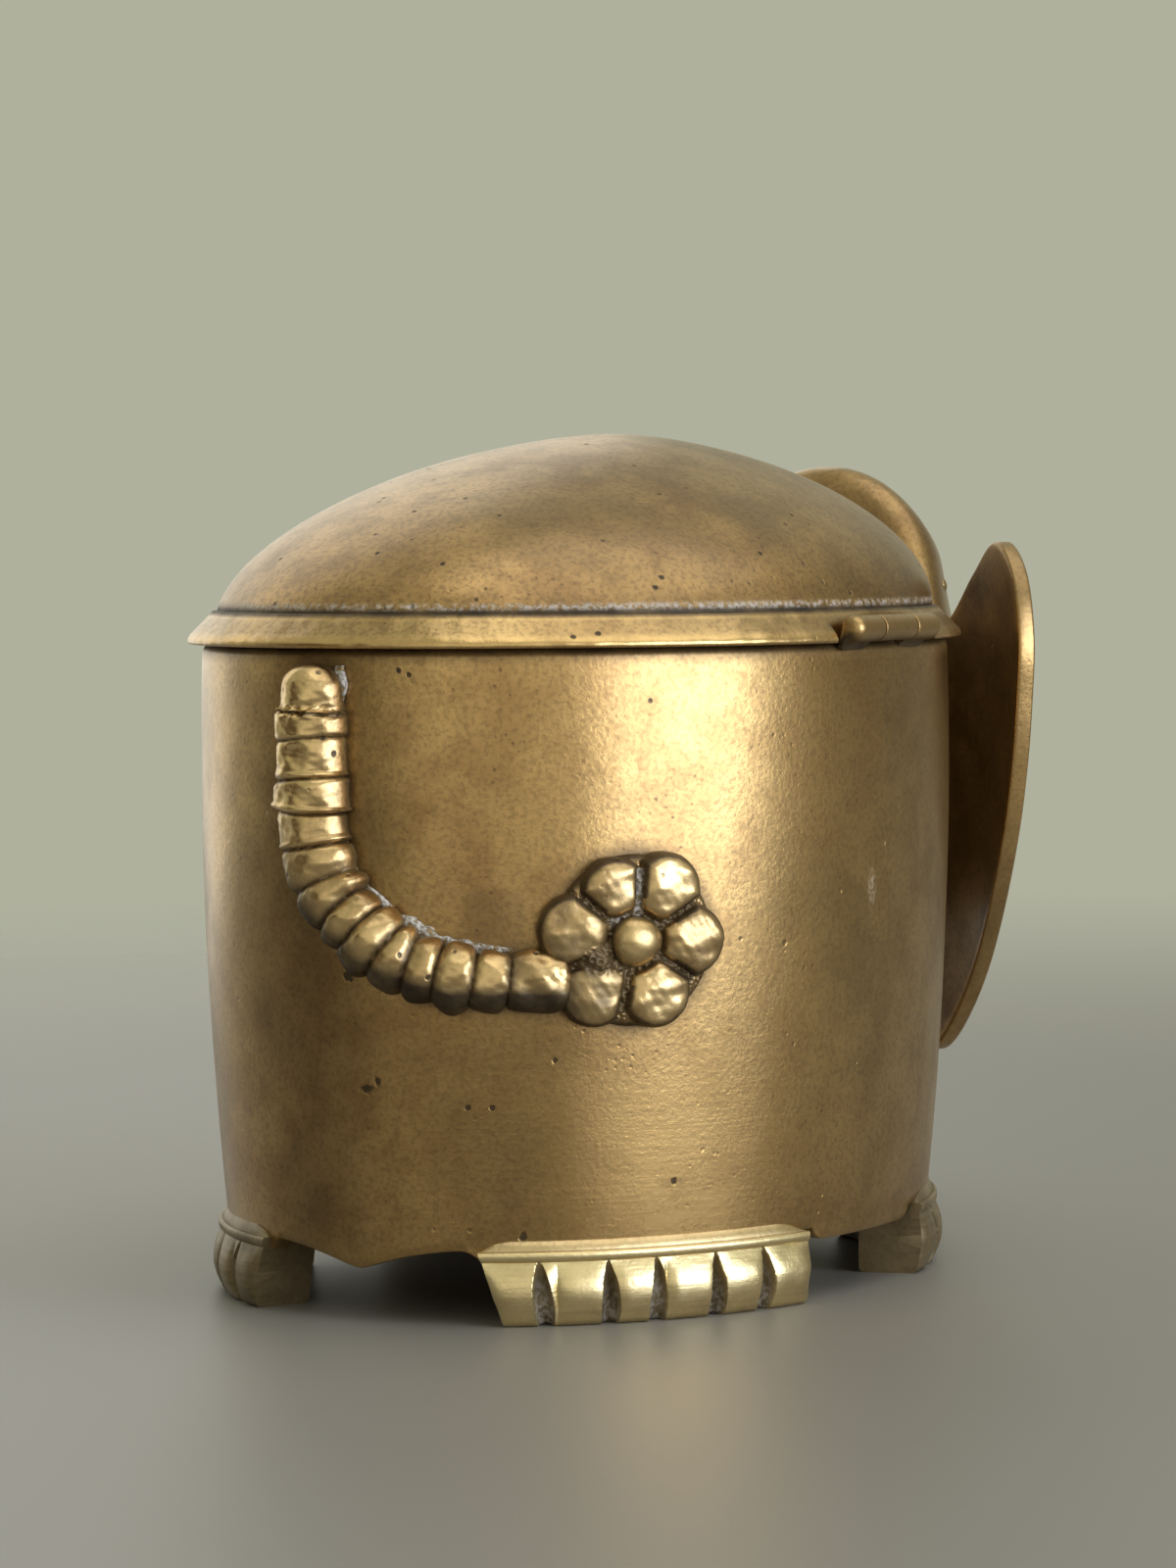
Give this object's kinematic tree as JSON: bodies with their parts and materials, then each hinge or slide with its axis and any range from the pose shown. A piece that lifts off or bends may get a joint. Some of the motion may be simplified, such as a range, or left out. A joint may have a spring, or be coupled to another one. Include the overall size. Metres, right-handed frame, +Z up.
{
  "type": "trinket box",
  "caption": "Small footed brass trinket box in the shape of an elephant, with an oval barrel, a domed lid hinged on its flank, wide ears, a ringed trunk and a tail ending in a flower.",
  "frame": {"origin": "on the surface that the box stands on, midway along the whole length, on the barrel's middle plane", "axes": "+Z up, -Y towards the head and trunk, +Y towards the tail, -X towards the elephant's right flank"},
  "size_m": [0.0656, 0.111, 0.076],
  "materials": {
    "aged_brass": "aged, mottled brown-olive patina, half dull",
    "brown_brass": "aged, browner and duller, fine speckle",
    "pitted_brass": "as cast, pitted, edges rubbed bright",
    "filed_brass": "filed, brighter and yellower, with file marks",
    "rubbed_brass": "rubbed bright on the high spots",
    "hinge_brass": "drawn brass, dulled"
  },
  "bodies": {
    "body": {"body_barrel": "aged_brass", "floor_plate": "aged_brass", "foot_rear_right": "filed_brass", "foot_rear_left": "filed_brass", "foot_front_right": "filed_brass", "foot_front_left": "filed_brass", "head_shell": "aged_brass", "eye_right": "rubbed_brass", "eye_left": "rubbed_brass", "ear_right": "aged_brass", "ear_left": "aged_brass", "trunk": "aged_brass", "tusk_right": "aged_brass", "tusk_left": "aged_brass", "tail": "aged_brass", "tail_flower": "filed_brass", "flower_rivet": "rubbed_brass", "hinge_post_rear": "hinge_brass", "hinge_post_front": "hinge_brass", "hinge_pin": "hinge_brass"},
    "lid": {"lid_dome": "brown_brass", "lid_band": "pitted_brass", "lid_ring": "pitted_brass", "hinge_knuckle_lid": "hinge_brass"}
  },
  "joints": [
    {"name": "lid_hinge", "type": "hinge", "parent": "body", "child": "lid", "pos_m": [-0.03203, 0.01218, 0.05865], "axis": [0, -1, 0], "range_deg": [0, 110]}
  ]
}
